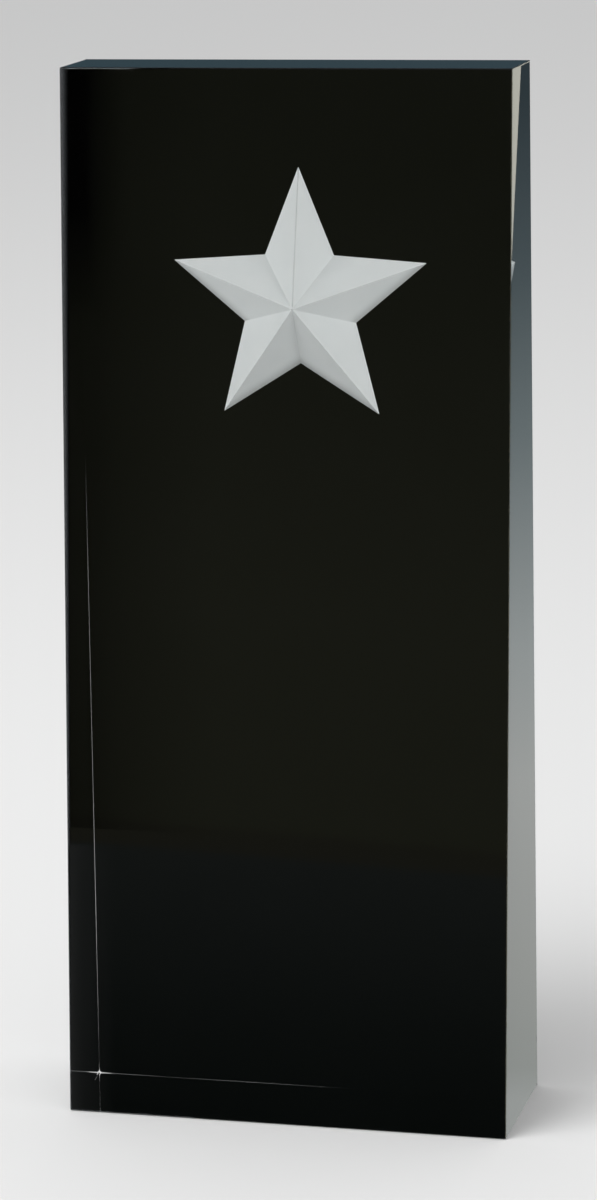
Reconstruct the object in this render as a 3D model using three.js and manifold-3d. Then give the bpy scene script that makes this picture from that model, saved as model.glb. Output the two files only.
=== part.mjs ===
// A crystal award: an upright wedge of clear optical crystal whose back face is lacquered
// black, with a five-pointed star cut in through the lacquer and lined with white enamel.
//
// Units are millimetres. +Z is up, the award faces -Y and rests on its flat base. The
// origin is at the middle of the bounding box's underside.
//
// The back face stands upright, the top is level and the front face leans back, so the
// block is thickest at the base. The star is reverse cut: a wheel of a fixed angle grinds
// ten flat flanks from behind, so seen through the front it stands out as a relief whose
// middle comes towards the viewer.

import * as THREE from 'three';
import { mergeVertices } from 'three/addons/utils/BufferGeometryUtils.js';
import Module from 'manifold-3d';

// ---- Driving dimensions ----------------------------------------------------------------

const BLOCK = {
  width: 88, // across the front, edge to edge
  height: 204.5, // base to top
  baseDepth: 32.3, // front to back, at the base
  topDepth: 17.1, // front to back, at the top
  arris: 0.3, // flat ground on every edge but the back's, measured along each face
};

const STAR = {
  points: 5,
  tipRadius: 26.35, // centre to each tip, on the back face
  dropFromTop: 46.7, // top of the block down to the centre of the star
  depth: 9.85, // back face in to the ridge point at the centre
  flankAngle: 45, // each flank against the back face, in degrees: a 90 degree V wheel
};

const ENAMEL = {
  thickness: 0.6, // square to a flank
  clearance: 0.3, // enamel to crystal, square to a flank
};

const LACQUER = {
  thickness: 0.4, // square to the back face
  clearance: 0.3, // lacquer to crystal
  setback: 0.05, // how far it stops short of the back's edges
};

const CUT_OVERSHOOT = 2; // how far the raw wedge and the cutter run out past the back face

const FINISH = {
  crystal: { color: 0xdfe9ec, roughness: 0.02, metalness: 0, transparent: true, opacity: 0.35 },
  enamel: { color: 0xeceeed, roughness: 0.55, metalness: 0 },
  lacquer: { color: 0x0b0b0a, roughness: 0.4, metalness: 0 },
};

// ---- Values worked out from them -------------------------------------------------------

const lacquerBack = LACQUER.clearance + LACQUER.thickness; // out from the crystal's back
const backY = (BLOCK.baseDepth - lacquerBack) / 2;
const baseFrontY = backY - BLOCK.baseDepth;
const topFrontY = backY - BLOCK.topDepth;
const starCentreZ = BLOCK.height - STAR.dropFromTop;
const flank = THREE.MathUtils.degToRad(STAR.flankAngle);

// ---- Geometry helpers ------------------------------------------------------------------

// An outline with every corner cut off by a straight flat of the given setback.
function cutCorners(corners, setback) {
  const points = [];
  corners.forEach((corner, i) => {
    const before = corners[(i + corners.length - 1) % corners.length];
    const after = corners[(i + 1) % corners.length];
    for (const neighbour of [before, after]) {
      const along = neighbour.clone().sub(corner).normalize();
      points.push(corner.clone().addScaledVector(along, setback));
    }
  });
  return points;
}

// Tips and inner corners of the star, where its flanks sink `depth` below the plane that
// the outline lies in. Each edge of the outline is as far from the centre as the flank
// needs to reach that depth, and that fixes the inner corners. The points run
// anticlockwise as seen from the front.
function starOutline(tipRadius, depth) {
  const edgeDistance = depth / Math.tan(flank);
  const step = Math.PI / STAR.points;
  const edgeAngle = Math.asin(edgeDistance / tipRadius);
  const innerRadius = edgeDistance / Math.sin(step + edgeAngle);
  const outline = [];
  for (let i = 0; i < 2 * STAR.points; i += 1) {
    const radius = i % 2 === 0 ? tipRadius : innerRadius;
    outline.push(new THREE.Vector2(-radius * Math.sin(i * step), radius * Math.cos(i * step)));
  }
  return outline;
}

// The star's flanks as a cone of ten flat facets, whose ridge point lies `shift` behind
// the cut's own ridge point, ending on the plane at `endY`.
function starCone(shift, endY) {
  const ridgeY = backY - STAR.depth + shift;
  const scale = (endY - ridgeY) / STAR.depth;
  const rim = starOutline(STAR.tipRadius, STAR.depth).map(
    (p) => new THREE.Vector3(p.x * scale, endY, starCentreZ + p.y * scale),
  );
  return { ridge: new THREE.Vector3(0, ridgeY, starCentreZ), rim };
}

// A triangle fan from a point to each edge of a closed rim.
function fan(point, rim, flipped) {
  const triangles = [];
  rim.forEach((a, i) => {
    const b = rim[(i + 1) % rim.length];
    triangles.push(flipped ? [point, b, a] : [point, a, b]);
  });
  return triangles;
}

// The strip between two rims that have the same number of points.
function strip(outer, inner) {
  const triangles = [];
  outer.forEach((a, i) => {
    const next = (i + 1) % outer.length;
    triangles.push([a, inner[i], outer[next]]);
    triangles.push([outer[next], inner[i], inner[next]]);
  });
  return triangles;
}

function geometryFromTriangles(triangles) {
  return new THREE.BufferGeometry().setFromPoints(triangles.flat());
}

// ---- Joining and cutting ---------------------------------------------------------------

const wasm = await Module();
wasm.setup();

function toSolid(geometry) {
  const bare = geometry.clone();
  bare.deleteAttribute('normal');
  bare.deleteAttribute('uv');
  const merged = mergeVertices(bare);
  const mesh = new wasm.Mesh({
    numProp: 3,
    vertProperties: new Float32Array(merged.attributes.position.array),
    triVerts: new Uint32Array(merged.index.array),
  });
  return new wasm.Manifold(mesh);
}

function toGeometry(solid) {
  const mesh = solid.getMesh();
  const geometry = new THREE.BufferGeometry();
  geometry.setAttribute('position', new THREE.BufferAttribute(mesh.vertProperties, 3));
  geometry.setIndex(new THREE.BufferAttribute(mesh.triVerts, 1));
  geometry.computeVertexNormals();
  return geometry;
}

// ---- The pieces ------------------------------------------------------------------------

// The wedge, extruded sideways from its side outline, with a flat on every edge. It runs
// out past the back face, which is then cut off square and keeps its edges sharp.
function wedgeGeometry() {
  const endY = backY + CUT_OVERSHOOT;
  const side = [
    new THREE.Vector2(baseFrontY, 0),
    new THREE.Vector2(endY, 0),
    new THREE.Vector2(endY, BLOCK.height),
    new THREE.Vector2(topFrontY, BLOCK.height),
  ];
  const geometry = new THREE.ExtrudeGeometry(new THREE.Shape(cutCorners(side, BLOCK.arris)), {
    depth: BLOCK.width - 2 * BLOCK.arris,
    bevelEnabled: true,
    bevelSegments: 1,
    bevelThickness: BLOCK.arris,
    bevelSize: BLOCK.arris,
    bevelOffset: -BLOCK.arris,
  });
  // The outline was drawn in X and Y and extruded along Z: turn it to Y, Z and X.
  const turned = new THREE.Matrix4().set(
    0, 0, 1, BLOCK.arris - BLOCK.width / 2,
    1, 0, 0, 0,
    0, 1, 0, 0,
    0, 0, 0, 1,
  );
  return geometry.applyMatrix4(turned);
}

// What the wheel takes away: the star's flanks, run out past the back face.
function cutterGeometry() {
  const endY = backY + CUT_OVERSHOOT;
  const { ridge, rim } = starCone(0, endY);
  const middle = new THREE.Vector3(0, endY, starCentreZ);
  return geometryFromTriangles([...fan(ridge, rim, false), ...fan(middle, rim, true)]);
}

function crystalBlock() {
  const wedge = toSolid(wedgeGeometry()).trimByPlane([0, -1, 0], -backY);
  const cut = wedge.subtract(toSolid(cutterGeometry()));
  return new THREE.Mesh(toGeometry(cut), new THREE.MeshStandardMaterial(FINISH.crystal));
}

// The enamel is an even coat on the ten flanks, hollow from behind and flush with the
// back face. A shift along Y moves a flank by that times the cosine of its angle.
function starEnamel() {
  const outer = starCone(ENAMEL.clearance / Math.cos(flank), backY);
  const inner = starCone((ENAMEL.clearance + ENAMEL.thickness) / Math.cos(flank), backY);
  const geometry = geometryFromTriangles([
    ...fan(outer.ridge, outer.rim, false),
    ...fan(inner.ridge, inner.rim, true),
    ...strip(outer.rim, inner.rim),
  ]);
  geometry.computeVertexNormals();
  return new THREE.Mesh(geometry, new THREE.MeshStandardMaterial(FINISH.enamel));
}

// The lacquer covers the back face almost to its edges, and stops where the star's flanks
// run out through it.
function backLacquer() {
  const halfWidth = BLOCK.width / 2 - LACQUER.setback;
  const topZ = BLOCK.height - LACQUER.setback;
  const outline = new THREE.Shape([
    new THREE.Vector2(-halfWidth, LACQUER.setback),
    new THREE.Vector2(halfWidth, LACQUER.setback),
    new THREE.Vector2(halfWidth, topZ),
    new THREE.Vector2(-halfWidth, topZ),
  ]);
  const { rim } = starCone(0, backY + lacquerBack);
  outline.holes.push(new THREE.Path(rim.map((p) => new THREE.Vector2(p.x, p.z))));
  const geometry = new THREE.ExtrudeGeometry(outline, {
    depth: LACQUER.thickness,
    bevelEnabled: false,
  });
  // Drawn facing +Z and extruded along it: stand it up, so that it is extruded along -Y.
  geometry.rotateX(Math.PI / 2);
  geometry.translate(0, backY + lacquerBack, 0);
  return new THREE.Mesh(geometry, new THREE.MeshStandardMaterial(FINISH.lacquer));
}

// ---- The award -------------------------------------------------------------------------

const award = new THREE.Group();
const pieces = {
  crystal_block: crystalBlock(),
  star_enamel: starEnamel(),
  back_lacquer: backLacquer(),
};
for (const [name, piece] of Object.entries(pieces)) {
  piece.name = name;
  award.add(piece);
}

export default award;
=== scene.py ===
from math import asin, atan2, cos, pi, radians, sin, tan

import bmesh
import bpy
from mathutils import Matrix, Vector


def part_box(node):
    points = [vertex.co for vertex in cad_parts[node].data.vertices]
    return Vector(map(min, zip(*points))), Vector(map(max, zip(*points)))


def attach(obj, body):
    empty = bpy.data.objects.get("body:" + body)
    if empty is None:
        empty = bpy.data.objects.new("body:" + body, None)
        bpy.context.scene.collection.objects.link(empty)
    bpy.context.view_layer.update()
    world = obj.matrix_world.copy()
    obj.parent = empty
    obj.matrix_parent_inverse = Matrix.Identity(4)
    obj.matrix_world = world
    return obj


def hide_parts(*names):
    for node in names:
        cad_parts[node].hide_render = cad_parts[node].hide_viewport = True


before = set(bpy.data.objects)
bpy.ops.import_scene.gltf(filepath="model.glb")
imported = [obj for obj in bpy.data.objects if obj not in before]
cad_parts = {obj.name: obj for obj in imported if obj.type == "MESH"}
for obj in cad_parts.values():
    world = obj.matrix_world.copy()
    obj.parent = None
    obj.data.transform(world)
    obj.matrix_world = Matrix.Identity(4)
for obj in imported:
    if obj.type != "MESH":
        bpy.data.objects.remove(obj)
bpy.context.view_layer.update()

# A crystal award: a clear wedge with a black lacquered back, and a five-pointed star cut
# into it from behind and lined with white enamel. Metres, +Z up, front face to -Y.

MM = 0.001

# ---- Sizes ------------------------------------------------------------------------------

block_low, block_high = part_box("crystal_block")
WIDTH = block_high.x - block_low.x
HEIGHT = block_high.z - block_low.z
BACK_Y = block_high.y
BASE_DEPTH = 32.3 * MM
TOP_DEPTH = 17.1 * MM
ARRIS = 0.3 * MM  # ground on every edge but the back's, which stay sharp
ARRIS_STEPS = 3

POINTS = 5
STEP = pi / POINTS  # the turn from a point of the star to the notch beside it
TIP_RADIUS = 26.35 * MM
STAR_DROP = 46.7 * MM  # top of the block down to the star's centre
STAR_DEPTH = 9.85 * MM
FLANK = radians(45)  # each flank against the back face
STAR_CENTRE = Vector((0, BACK_Y, block_high.z - STAR_DROP))
CUTTER_END_Y = BACK_Y + 2 * MM  # the tool that cuts the star stands out behind the back
RIDGE_SOFTENING = 0.08 * MM
RIDGE_STEPS = 3
RIDGE_LINE = 0.17 * MM  # half the width of the faint line up the top point's ridge
SHADE_REACH = 1.8 * MM  # how far in from the back face the painted shade on the down-facing flanks reaches

BOND = 0.02 * MM  # how far the coats reach into the crystal, so that no air lies between
ENAMEL_THICKNESS = 0.15 * MM
LACQUER_THICKNESS = 0.12 * MM
AIR_GAP = 0.1 * MM  # between the polished base and the floor
SAME_PLACE = MM / 1000  # nearer than this counts as touching
FACING = 0.9  # a normal with more than this along an axis faces that way
BARE_SPOT = 0.25 * MM  # at the lower left corner of the back
# Where the lacquer leaves a hairline bare: along the edge from that corner, and how much.
LEFT_HAIRLINE = ((0.35, 0.12), (0.7, 0.03), (2, 0.005), (14, 0.018), (35, 0.038),
                 (60, 0.026), (105, 0.020), (130, 0.0))
BOTTOM_HAIRLINE = ((0.35, 0.16), (0.9, 0.12), (1.8, 0.10), (3.1, 0.032), (8, 0.030),
                   (14, 0.010), (32, 0.032), (48, 0.008), (56, 0.0))


# ---- Working in edit mode ---------------------------------------------------------------

def deselect_all():
    bpy.ops.object.select_all(action="DESELECT")


def select_only(piece):
    deselect_all()
    piece.select_set(True)
    bpy.context.view_layer.objects.active = piece


def start_editing(piece, mode):
    """Edit mode on one piece, with nothing in it selected."""
    select_only(piece)
    bpy.ops.object.mode_set(mode="EDIT")
    bpy.ops.mesh.select_mode(type=mode)
    bpy.ops.mesh.select_all(action="DESELECT")


def stop_editing():
    bpy.ops.object.mode_set(mode="OBJECT")


def pick(kind, wanted):
    """Adds the verts, edges or faces that wanted() is true of to the selection."""
    edit = bmesh.from_edit_mesh(bpy.context.edit_object.data)
    for element in getattr(edit, kind):
        if wanted(element):
            element.select_set(True)
    edit.select_flush_mode()
    bmesh.update_edit_mesh(bpy.context.edit_object.data)


def middle(element):
    return sum((v.co for v in element.verts), Vector()) / len(element.verts)


def settle(piece, name):
    """Names a piece and puts its place in its mesh, with its object at the origin."""
    select_only(piece)
    bpy.ops.object.transform_apply(location=True, rotation=True, scale=True)
    piece.name = name
    piece.data.name = name
    return piece


def on(value, target):
    return abs(value - target) < SAME_PLACE


def pull_in(wanted, shift):
    """Moves the verts that wanted() is true of."""
    bpy.ops.mesh.select_all(action="DESELECT")
    pick("verts", wanted)
    bpy.ops.transform.translate(value=shift)


def apply_modifier(piece, kind, **settings):
    modifier = piece.modifiers.new(kind.lower(), kind)
    for key, value in settings.items():
        setattr(modifier, key, value)
    select_only(piece)
    bpy.ops.object.modifier_apply(modifier=modifier.name)


# ---- Shapes -----------------------------------------------------------------------------

def inner_radius():
    """Where two flanks meet between two points, on the back face."""
    edge_distance = STAR_DEPTH / tan(FLANK)
    return edge_distance / sin(STEP + asin(edge_distance / TIP_RADIUS))


def star_cone(name, shift, end_y, capped):
    """The star's ten flanks, from a ridge point `shift` behind the cut's own to end_y."""
    ridge_y = BACK_Y - STAR_DEPTH + shift
    length = end_y - ridge_y
    bpy.ops.mesh.primitive_cone_add(
        vertices=2 * POINTS, radius1=TIP_RADIUS * length / STAR_DEPTH, radius2=0,
        depth=length, end_fill_type="NGON" if capped else "NOTHING",
        location=(0, (ridge_y + end_y) / 2, STAR_CENTRE.z), rotation=(pi / 2, 0, 0))
    star = settle(bpy.context.object, name)
    start_editing(star, "VERT")

    def between_points(vert):
        place = vert.co - STAR_CENTRE
        around = round(atan2(place.x, place.z) / STEP)
        return on(vert.co.y, end_y) and around % 2 == 1

    pick("verts", between_points)
    pull = inner_radius() / TIP_RADIUS
    bpy.ops.transform.resize(value=(pull, 1, pull), center_override=(0, end_y, STAR_CENTRE.z))
    stop_editing()
    return star


def cut_star(piece):
    cutter = star_cone("cutter", 0, CUTTER_END_Y, capped=True)
    apply_modifier(piece, "BOOLEAN", operation="DIFFERENCE", solver="EXACT", object=cutter)
    bpy.data.objects.remove(cutter)


def make_crystal_block():
    """A box whose front leans back, its edges ground in steps, apart from the back's four."""
    bpy.ops.mesh.primitive_cube_add(
        size=1, location=(0, BACK_Y - BASE_DEPTH / 2, block_low.z + HEIGHT / 2),
        scale=(WIDTH, BASE_DEPTH, HEIGHT))
    block = settle(bpy.context.object, "crystal")
    start_editing(block, "EDGE")
    pick("edges", lambda edge: all(vert.co.y < BACK_Y - BASE_DEPTH / 2
                                   and vert.co.z > HEIGHT / 2 for vert in edge.verts))
    bpy.ops.transform.translate(value=(0, BASE_DEPTH - TOP_DEPTH, 0))
    bpy.ops.mesh.select_all(action="DESELECT")
    pick("edges", lambda edge: not on(middle(edge).y, BACK_Y))
    bpy.ops.mesh.bevel(offset=ARRIS, offset_type="OFFSET", segments=ARRIS_STEPS, profile=0.5)
    stop_editing()
    cut_star(block)
    return block


def make_star_enamel():
    """A thin shell on the star's flanks, bonded to them, with its ridges slightly soft."""
    shift = -BOND / cos(FLANK)
    enamel = star_cone("enamel", shift, BACK_Y + LACQUER_THICKNESS, capped=False)
    start_editing(enamel, "EDGE")
    pick("edges", lambda edge: not edge.is_boundary)
    bpy.ops.mesh.bevel(offset=RIDGE_SOFTENING, offset_type="OFFSET", segments=RIDGE_STEPS,
                       profile=0.5)
    bpy.ops.mesh.select_all(action="SELECT")
    bpy.ops.mesh.normals_make_consistent(inside=False)
    stop_editing()
    apply_modifier(enamel, "SOLIDIFY", thickness=ENAMEL_THICKNESS, offset=-1, use_rim=True)
    return enamel


def make_back_lacquer():
    """A plate over the whole back. It thins out a hair short of the left and bottom edges,
    and a spot at their corner is bare."""
    left, low_z = -WIDTH / 2, block_low.z
    bpy.ops.mesh.primitive_cube_add(
        size=1, location=(0, BACK_Y + (LACQUER_THICKNESS - BOND) / 2, low_z + HEIGHT / 2),
        scale=(WIDTH, LACQUER_THICKNESS + BOND, HEIGHT))
    lacquer = settle(bpy.context.object, "lacquer")
    start_editing(lacquer, "VERT")
    for height, _ in LEFT_HAIRLINE:
        bpy.ops.mesh.select_all(action="SELECT")
        bpy.ops.mesh.bisect(plane_co=(0, 0, low_z + height * MM), plane_no=(0, 0, 1))
    for across, _ in BOTTOM_HAIRLINE:
        bpy.ops.mesh.select_all(action="SELECT")
        bpy.ops.mesh.bisect(plane_co=(left + across * MM, 0, 0), plane_no=(1, 0, 0))
    for height, bare in LEFT_HAIRLINE:
        pull_in(lambda vert: on(vert.co.x, left) and on(vert.co.z, low_z + height * MM),
                (bare * MM, 0, 0))
    for across, bare in BOTTOM_HAIRLINE:
        pull_in(lambda vert: on(vert.co.z, low_z) and on(vert.co.x, left + across * MM),
                (0, 0, bare * MM))
    pull_in(lambda vert: on(vert.co.x, left) and on(vert.co.z, low_z),
            (BARE_SPOT, 0, BARE_SPOT))
    stop_editing()
    cut_star(lacquer)
    return lacquer


# ---- Shader maths -----------------------------------------------------------------------

class Value:
    """A shader socket that adds Math nodes as it is worked with."""

    def __init__(self, finish, socket):
        self.finish = finish
        self.socket = socket

    def _math(self, operation, first, second):
        return self.finish.node("ShaderNodeMath", {"operation": operation},
                                {0: first, 1: second})

    def __add__(self, other):
        return self._math("ADD", self, other)

    __radd__ = __add__

    def __sub__(self, other):
        return self._math("SUBTRACT", self, other)

    def __rsub__(self, other):
        return self._math("SUBTRACT", other, self)

    def __mul__(self, other):
        return self._math("MULTIPLY", self, other)

    __rmul__ = __mul__

    def __truediv__(self, other):
        return self._math("DIVIDE", self, other)

    def __rtruediv__(self, other):
        return self._math("DIVIDE", other, self)

    def __pow__(self, other):
        return self._math("POWER", self, other)

    def __rpow__(self, other):
        return self._math("POWER", other, self)

    def __abs__(self):
        return self._math("ABSOLUTE", self, 0.0)


class Finish:
    """A material and the nodes in it."""

    def __init__(self, name):
        self.material = bpy.data.materials.new(name)
        self.material.use_nodes = True
        self.tree = self.material.node_tree
        self.tree.nodes.clear()

    def node(self, kind, settings=None, values=None, output=0):
        """Adds a node: its settings first, then the values or links of its sockets."""
        made = self.tree.nodes.new(kind)
        for key, value in (settings or {}).items():
            if key == "stops":
                self._set_stops(made.color_ramp, value)
            else:
                setattr(made, key, value)
        for key, value in (values or {}).items():
            if isinstance(value, Value):
                self.tree.links.new(value.socket, made.inputs[key])
            else:
                made.inputs[key].default_value = value
        return Value(self, made.outputs[output]) if made.outputs else None

    @staticmethod
    def _set_stops(ramp, stops):
        while len(ramp.elements) < len(stops):
            ramp.elements.new(1.0)
        for element, (position, colour) in zip(ramp.elements, stops):
            element.position = position
            element.color = (*colour, 1) if len(colour) == 3 else colour

    def place(self, stretch=(1, 1, 1)):
        """The point on the piece, in metres, scaled along each axis."""
        point = self.node("ShaderNodeTexCoord", output="Object")
        return self.node("ShaderNodeMapping", {}, {"Vector": point, "Scale": stretch})

    def axes(self, vector):
        """A vector's parts along X, Y and Z."""
        parts = self.node("ShaderNodeSeparateXYZ", {}, {"Vector": vector}).socket.node
        return [Value(self, parts.outputs[axis]) for axis in "XYZ"]

    def noise(self, per_metre, detail, stretch=(1, 1, 1)):
        return self.node("ShaderNodeTexNoise", {}, {
            "Vector": self.place(stretch), "Scale": per_metre, "Detail": detail})

    def ramp(self, value, *stops):
        return self.node("ShaderNodeValToRGB", {"stops": stops}, {"Fac": value})

    def grey_ramp(self, value, *levels):
        return self.ramp(value, *((position, grey(level)) for position, level in levels))

    def grey_of(self, colour):
        return self.node("ShaderNodeRGBToBW", {}, {"Color": colour})

    def blend(self, share, first, second):
        return self.node("ShaderNodeMix", {"data_type": "RGBA"},
                         {"Factor": share, "A": first, "B": second}, output="Result")

    def bump(self, height, strength, distance):
        return self.node("ShaderNodeBump", {}, {
            "Height": height, "Strength": strength, "Distance": distance})

    def surface(self, **values):
        names = {key: key.replace("_", " ").title().replace("Ior", "IOR") for key in values}
        shader = self.node("ShaderNodeBsdfPrincipled", {},
                           {names[key]: value for key, value in values.items()})
        self.node("ShaderNodeOutputMaterial", {}, {"Surface": shader})
        return self.material


def grey(level):
    return (level, level, level, 1)


# ---- Finishes ---------------------------------------------------------------------------

def grey(level):
    return (level, level, level, 1)


BLACK = grey(0)
WHITE = grey(1)
# The dark that the painted shade on the lower flanks and the faint line up the top point blend
# towards.
SHADE_AND_LINE_BLACK = grey(0.02)
RIDGE_LINE_SHARE = 0.22  # how far the ridge line is blended towards that dark


def crystal_finish():
    """Clear polished crystal, with the faint unevenness that wiping leaves."""
    crystal = Finish("clear crystal")
    wipe = crystal.noise(per_metre=90, detail=4, stretch=(1, 1, 0.3))
    smear = crystal.grey_ramp(wipe, (0.45, 0), (0.8, 1))
    return crystal.surface(
        base_color=WHITE, roughness=smear * 0.012, transmission_weight=1.0, ior=1.517)


def enamel_finish():
    """Matte white enamel, sprayed: a fine pebbled skin and a slightly uneven white."""
    enamel = Finish("white enamel")
    cloud = enamel.noise(per_metre=240, detail=3)
    pebble = enamel.noise(per_metre=5200, detail=2)
    white = enamel.blend(cloud, (0.785, 0.83, 0.83, 1), (0.85, 0.885, 0.88, 1))
    across, depth, height = enamel.axes(enamel.place())

    # Painted shade: the flanks that face down are darkened towards the back face, where less light
    # reaches them.
    normal = enamel.node("ShaderNodeNewGeometry", output="Normal")
    facing_up = enamel.axes(normal)[2]
    facing_down = enamel.grey_ramp(facing_up * -1.0, (0.25, 0), (0.4, 1))
    from_back = (BACK_Y - depth) * (1 / SHADE_REACH)
    painted_shade = enamel.grey_ramp(from_back, (0, 0.34), (0.3, 0.27), (0.5, 0.13), (0.75, 0.04), (1, 0))
    white = enamel.blend(enamel.grey_of(painted_shade) * facing_down, white, SHADE_AND_LINE_BLACK)

    # A faint dark line painted up the middle of the top point, from the star's centre towards its
    # tip.
    from_line = abs(across) * (1 / RIDGE_LINE)
    on_line = enamel.grey_ramp(from_line, (0.5, 1), (1, 0))
    above = enamel.grey_ramp((height - STAR_CENTRE.z) * (1 / MM), (0, 0), (0.6, 1))
    white = enamel.blend(enamel.grey_of(on_line) * above * RIDGE_LINE_SHARE, white, SHADE_AND_LINE_BLACK)
    return enamel.surface(
        base_color=white, roughness=0.55 + pebble * 0.12,
        normal=enamel.bump(pebble, strength=0.12, distance=0.05 * MM))


def bonded_finish():
    """The side of a coat that grips the crystal: no air there, so it has no gloss."""
    bonded = Finish("bonded black")
    cloud = bonded.noise(per_metre=60, detail=3)
    return bonded.surface(base_color=bonded.blend(cloud, grey(0.001), grey(0.003)),
                          roughness=1.0, specular_ior_level=0.0)


def lacquer_finish():
    """Opaque black lacquer with a satin, slightly rippled skin."""
    lacquer = Finish("black lacquer")
    ripple = lacquer.noise(per_metre=700, detail=2)
    cloud = lacquer.noise(per_metre=60, detail=3)
    black = lacquer.blend(cloud, grey(0.004), grey(0.009))
    return lacquer.surface(
        base_color=black, roughness=0.32 + cloud * 0.14,
        normal=lacquer.bump(ripple, strength=0.25, distance=0.04 * MM))


def dress(piece, materials, slot, *nodes):
    """Gives a piece its finish, a second one for the faces against the crystal, and its place."""
    piece.data.materials.clear()
    for material in materials:
        piece.data.materials.append(material)
    if len(materials) > 1:
        start_editing(piece, "FACE")
        pick("faces", lambda face: face.normal.y < -FACING)
        piece.active_material_index = 1
        bpy.ops.object.material_slot_assign()
        stop_editing()
    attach(piece, "root")
    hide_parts(*nodes)


# ---- Camera, floor and light ------------------------------------------------------------

CAMERA_PLACE = Vector((190.36, -744.34, 272.87)) * MM
CAMERA_TURN = radians(14.297)
CAMERA_LIFT = radians(12.570)
CAMERA_ROLL = radians(-1.159)
SENSOR_WIDTH = 36
LENS = 121.7

FLOOR_WIDTH = 12
ROOM_RADIUS = 20
FARTHEST_SEEN = 50
DAYLIGHT = 0.8

# Round the room, heights are degrees above the award's level.
EDGE_LOW = -11.5
EDGE_HIGH = 3
ZENITH = 70
TABLE_SLOPE = 0.07  # the table's far edge in front slopes by this much to the right,
TABLE_LEVEL = 0.298  # and is at its own height this far to the left
PALE_WALL = (0.115, 0.125, 0.08)
CEILING = (0.30, 0.32, 0.34)

# The softbox stands in one plane with the black flag beside it, the strip of table under
# the flag, and the softbox's own weaker foot. Their shared edge leans a little. From here
# on to the side softboxes, places and widths are millimetres.
SOFTBOX_Y = -616.5
SOFTBOX_INNER = -233.75
SOFTBOX_LEVEL = 218
SOFTBOX_LEAN = -0.015
SOFTBOX_FAR = SOFTBOX_INNER - 1200
SOFTBOX_BOTTOM = -34
SOFTBOX_TOP = 600
SOFTBOX_COLOUR = (0.94, 1.0, 1.04, 1)
FADE_WIDTH = 1.25
FADE_GROWTH = 0.0105  # for each millimetre of height
DIMMING_REACH = 400
FOOT_BOTTOM = -700
FOOT_GAP = 3

FLAG_BOTTOM = -27
FLAG_REACH = 52
FLAG_TURNOVER = 150  # from here up the flag is blacker close to the softbox
FLAG_TURNOVER_HEIGHT = 40
STRIP_BOTTOM = -600
STRIP_TOP = -33
STRIP_REACH = 16
STRIP_COLOUR = (0.27, 0.285, 0.28, 1)
FLAG_FAR = SOFTBOX_INNER + 80

CREAM_Y = 283.5
CREAM_EDGE_ABOVE = (97.9, 177.6)  # two places on its left edge, across and up
CREAM_EDGE_BELOW = (100.8, 126.8)
CREAM_FAR = 220
CREAM_BOTTOM = 60
CREAM_TOP = 400
CREAM = (1.18, 1.175, 1.03, 1)

SIDE_BOX_HALF_WIDTH = 160
SIDE_BOX_BOTTOM = -350
SIDE_BOX_TOP = 500


def make_camera():
    """A long lens a little above the award and to its right."""
    data = bpy.data.cameras.new("camera")
    data.sensor_width = SENSOR_WIDTH
    data.lens = LENS
    data.clip_end = FARTHEST_SEEN
    camera = bpy.data.objects.new("camera", data)
    bpy.context.scene.collection.objects.link(camera)
    turned = (Matrix.Rotation(CAMERA_TURN, 4, "Z") @ Matrix.Rotation(pi / 2 - CAMERA_LIFT, 4, "X")
              @ Matrix.Rotation(CAMERA_ROLL, 4, "Z"))
    camera.matrix_world = Matrix.Translation(CAMERA_PLACE) @ turned
    bpy.context.scene.camera = camera


def show_only_to(thing, *rays):
    for ray in ("camera", "diffuse", "glossy", "transmission", "volume_scatter", "shadow"):
        setattr(thing, "visible_" + ray, ray in rays)


def make_floor():
    bpy.ops.mesh.primitive_plane_add(size=FLOOR_WIDTH, location=(0, 0, -AIR_GAP))
    floor = settle(bpy.context.object, "floor")
    pale = Finish("pale floor")
    floor.data.materials.append(pale.surface(base_color=grey(0.72), roughness=0.9,
                                             specular_ior_level=0.2))
    show_only_to(floor, "camera", "diffuse", "transmission", "shadow")


def glow(name, colour, strength, share=None):
    """Emission whose colour comes from the finish's own nodes. Where its share is under 1,
    what lies behind shows through."""
    finish = Finish(name)
    shader = finish.node("ShaderNodeEmission", {}, {"Color": colour(finish), "Strength": strength})
    if share:
        clear = finish.node("ShaderNodeBsdfTransparent")
        shader = finish.node("ShaderNodeMixShader", {}, {0: share(finish), 1: clear, 2: shader})
    finish.node("ShaderNodeOutputMaterial", {}, {"Surface": shader})
    finish.material.cycles.emission_sampling = "NONE"
    return finish.material


def plain(colour):
    """One colour all over, for glow()."""
    return lambda finish: colour


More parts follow.
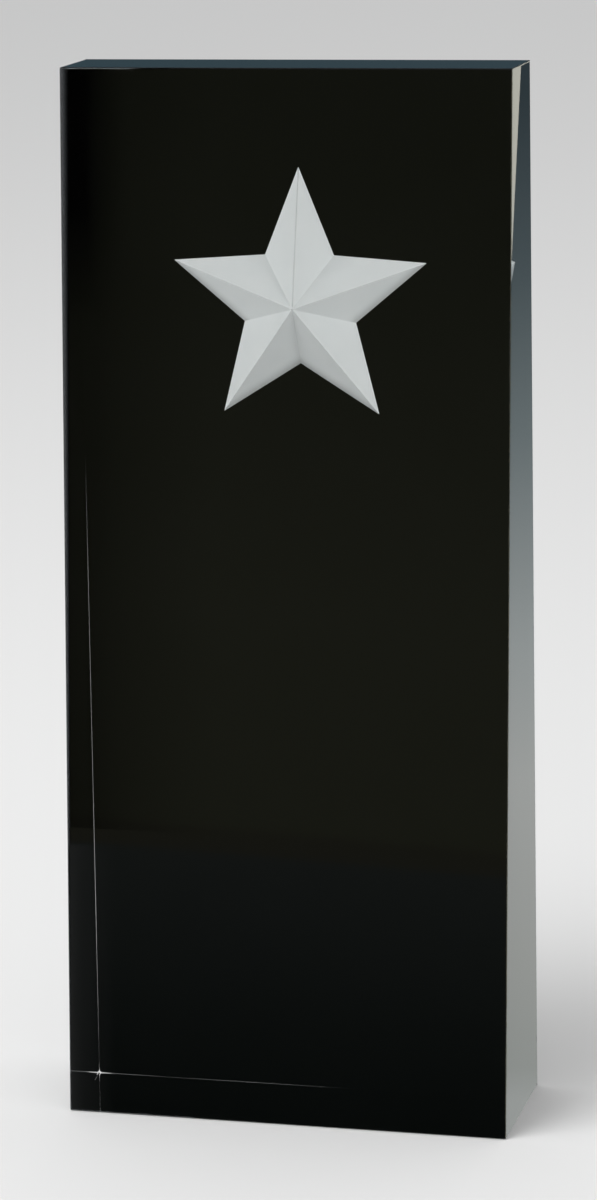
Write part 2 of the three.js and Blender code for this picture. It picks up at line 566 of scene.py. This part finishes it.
def make_surround():
    """The room, seen only in the crystal: dim in front, and behind a table that is bright
    close to the award and falls away to a dark wall."""
    bpy.ops.mesh.primitive_ico_sphere_add(subdivisions=5, radius=ROOM_RADIUS, location=(0, 0, 0))
    surround = settle(bpy.context.object, "surround")

    def height_share(elevation):
        return sin(radians(elevation)) / 2 + 0.5

    low = height_share(EDGE_LOW)
    high = height_share(EDGE_HIGH)

    def edge_share(elevation):
        return (height_share(elevation) - low) / (high - low)

    def colour(room):
        direction = room.node("ShaderNodeVectorMath", {"operation": "NORMALIZE"},
                              {"Vector": room.place()}, output="Vector")
        across, depth, upward = room.axes(direction)
        height = upward * 0.5 + 0.5
        tilted = (upward + (across + TABLE_LEVEL) * TABLE_SLOPE) * 0.5 + 0.5
        behind = room.ramp(
            height,
            (height_share(-22), (0.78, 0.82, 0.80)),
            (height_share(-19.6), (0.80, 0.84, 0.82)),
            (height_share(-19.1), (0.68, 0.72, 0.69)),
            (height_share(-17.8), (0.76, 0.79, 0.76)),
            (height_share(-15), (0.88, 0.91, 0.89)),
            (height_share(-13), (0.73, 0.79, 0.79)),
            (height_share(-10), (0.35, 0.42, 0.435)),
            (height_share(-7.5), (0.16, 0.21, 0.23)),
            (height_share(-5), (0.072, 0.102, 0.118)),
            (height_share(5), (0.05, 0.085, 0.105)),
            (height_share(ZENITH), CEILING))

        # In front, the table's edge is sharp, so it has a ramp of its own over a few degrees.
        table_edge = room.ramp(
            (tilted - low) * (1 / (high - low)),
            (0.0, (0.036, 0.049, 0.044)),
            (edge_share(-10), (0.062, 0.078, 0.071)),
            (edge_share(-7.62), (0.123, 0.145, 0.135)),
            (edge_share(-7.57), (0.15, 0.15, 0.11)),
            (edge_share(-7.25), (0.15, 0.15, 0.102)),
            (edge_share(-7.20), (0.175, 0.185, 0.12)),
            (edge_share(-4), (0.185, 0.195, 0.13)),
            (1.0, PALE_WALL))
        overhead = room.ramp(tilted, (high, PALE_WALL), (height_share(ZENITH), CEILING))
        above = room.grey_ramp(tilted, (high, 0), (high + 0.01, 1))
        before = room.blend(above, table_edge, overhead)
        side = room.grey_ramp(depth * 0.5 + 0.5, (0.45, 0), (0.55, 1))
        return room.blend(side, before, behind)

    surround.data.materials.append(glow("surround", colour, 1.0))
    show_only_to(surround, "glossy")


def make_card(name, corners, colour, strength, share=None):
    """A lit card given by its four corners in turn, seen only in the crystal's faces."""
    bpy.ops.mesh.primitive_plane_add(size=1)
    card = settle(bpy.context.object, name)
    for vert, corner in zip(card.data.vertices, (corners[0], corners[1], corners[3], corners[2])):
        vert.co = Vector(corner) * MM
    card.data.materials.append(glow(name, colour, strength, share))
    show_only_to(card, "glossy")


def facing_award(y, left, right, bottom, top):
    """The corners of an upright card at y. left() and right() give its edges at a height."""
    return ((left(bottom), y, bottom), (right(bottom), y, bottom),
            (right(top), y, top), (left(top), y, top))


def upright(x):
    """An edge that doesn't lean, for facing_award()."""
    return lambda z: x


def softbox_edge(z):
    return SOFTBOX_INNER + SOFTBOX_LEAN * (z - SOFTBOX_LEVEL)


def from_softbox(finish):
    """How far to the right of the softbox's edge a point is, and its height."""
    across, _, upward = finish.axes(finish.place())
    upward = upward * (1 / MM)
    return across * (1 / MM) - upward * SOFTBOX_LEAN - softbox_edge(0), upward


def make_softbox():
    """A wide softbox left of the camera. It fades towards its inner edge, over a width that
    grows with height, and dims slowly away from it. Its foot is weaker."""
    def colour(box):
        beyond, upward = from_softbox(box)
        fade_width = upward * FADE_GROWTH + FADE_WIDTH
        inset = beyond * -1.0 / fade_width
        near = box.ramp(inset ** 2, (0, BLACK), (1, SOFTBOX_COLOUR))
        away = box.grey_ramp(beyond * (-1 / DIMMING_REACH), (0.2, 0), (1, 1))
        return box.blend(away, near, grey(0.4))

    make_card("softbox", facing_award(SOFTBOX_Y, upright(SOFTBOX_FAR), softbox_edge,
                                      SOFTBOX_BOTTOM, SOFTBOX_TOP), colour, 3.0)
    make_card("softbox_foot", facing_award(SOFTBOX_Y, upright(SOFTBOX_FAR),
                                           upright(SOFTBOX_INNER - FOOT_GAP),
                                           FOOT_BOTTOM, SOFTBOX_BOTTOM),
              plain(SOFTBOX_COLOUR), 1.2)


def make_flags():
    """Beside the softbox, a soft-edged black flag, and under it a paler strip of table."""
    def flag_share(flag):
        beyond, upward = from_softbox(flag)
        across = beyond * (1 / FLAG_REACH)
        lower = flag.grey_ramp(across, (0, 0.5), (0.19, 0.45), (0.3, 0.34), (0.42, 0.25),
                               (0.7, 0.12), (1, 0))
        upper = flag.grey_ramp(across, (0.12, 1), (0.19, 0.7), (0.3, 0.45), (0.42, 0.2),
                               (0.7, 0.1), (1, 0))
        turnover = (upward - FLAG_TURNOVER) * (1 / FLAG_TURNOVER_HEIGHT)
        return flag.blend(flag.grey_ramp(turnover, (0, 0), (1, 1)), lower, upper)

    def strip_share(strip):
        beyond, _ = from_softbox(strip)
        return strip.grey_ramp(beyond * (1 / STRIP_REACH), (0, 1), (0.08, 0.75), (0.25, 0.42),
                               (0.56, 0.24), (1, 0))

    make_card("flag", facing_award(SOFTBOX_Y, softbox_edge, upright(FLAG_FAR),
                                   FLAG_BOTTOM, SOFTBOX_TOP), plain(BLACK), 1.0, flag_share)
    make_card("table_strip", facing_award(SOFTBOX_Y, softbox_edge, upright(FLAG_FAR),
                                          STRIP_BOTTOM, STRIP_TOP),
              plain(STRIP_COLOUR), 1.0, strip_share)


def make_cream_card():
    """Behind on the right. Its left edge leans a little."""
    across, up = CREAM_EDGE_ABOVE
    across_below, up_below = CREAM_EDGE_BELOW
    lean = (across_below - across) / (up_below - up)

    def edge(z):
        return across + (z - up) * lean

    make_card("cream_card", facing_award(CREAM_Y, edge, upright(CREAM_FAR),
                                         CREAM_BOTTOM, CREAM_TOP), plain(CREAM), 1.0)


def make_side_softboxes():
    """Tall softboxes far out to each side: they light up the ground front edges."""
    for name, x, y, colour in (("cool_side_box", -900, 240, (1.3, 1.45, 1.5, 1)),
                               ("warm_side_box", 900, -240, (1.6, 1.5, 1.1, 1))):
        front, back = y - SIDE_BOX_HALF_WIDTH, y + SIDE_BOX_HALF_WIDTH
        make_card(name, ((x, front, SIDE_BOX_BOTTOM), (x, back, SIDE_BOX_BOTTOM),
                         (x, back, SIDE_BOX_TOP), (x, front, SIDE_BOX_TOP)), plain(colour), 1.0)


def make_studio():
    world = bpy.data.worlds.new("studio")
    bpy.context.scene.world = world
    world.use_nodes = True
    background = world.node_tree.nodes["Background"]
    background.inputs["Color"].default_value = WHITE
    background.inputs["Strength"].default_value = DAYLIGHT


def gather(name, *pieces):
    """A collection of pieces, for a lamp that lights only them or is blocked only by them."""
    group = bpy.data.collections.new(name)
    for piece in pieces:
        group.objects.link(piece)
    return group


def make_light(name, place, aim, size, watts, only_on=None, blockers=None):
    data = bpy.data.lights.new(name, "AREA")
    data.shape = "RECTANGLE"
    data.size, data.size_y = size
    data.energy = watts
    light = bpy.data.objects.new(name, data)
    bpy.context.scene.collection.objects.link(light)
    light.location = place
    light.rotation_euler = (Vector(aim) - Vector(place)).to_track_quat("-Z", "Y").to_euler()
    light.visible_camera = light.visible_glossy = light.visible_transmission = False
    if only_on:
        light.light_linking.receiver_collection = only_on
        light.light_linking.blocker_collection = blockers


# ---- The award on its floor -------------------------------------------------------------

make_camera()
deselect_all()
crystal = make_crystal_block()
enamel = make_star_enamel()
lacquer = make_back_lacquer()
dress(crystal, [crystal_finish()], "crystal", "crystal_block")
dress(enamel, [enamel_finish()], "white_enamel", "star_enamel")
dress(lacquer, [lacquer_finish(), bonded_finish()], "black_lacquer", "back_lacquer")
make_floor()
make_surround()
make_softbox()
make_flags()
make_cream_card()
make_side_softboxes()
make_studio()
coats = gather("coats", enamel, lacquer)
star_only = gather("star_only", enamel)
make_light("star_left", place=(-0.8, -0.5, 0.3), aim=STAR_CENTRE, size=(0.3, 0.5), watts=3.3,
           only_on=star_only, blockers=coats)
make_light("star_right", place=(0.8, -0.5, 0.3), aim=STAR_CENTRE, size=(0.3, 0.5), watts=3.15,
           only_on=star_only, blockers=coats)
make_light("rear", place=(0.5, 0.9, 0.7), aim=STAR_CENTRE, size=(0.4, 0.4), watts=6,
           only_on=coats, blockers=coats)
make_light("overhead", place=(-0.5, -0.6, 1.4), aim=(0, 0, 0), size=(0.8, 0.8), watts=14)

bpy.context.scene.view_settings.view_transform = "Standard"
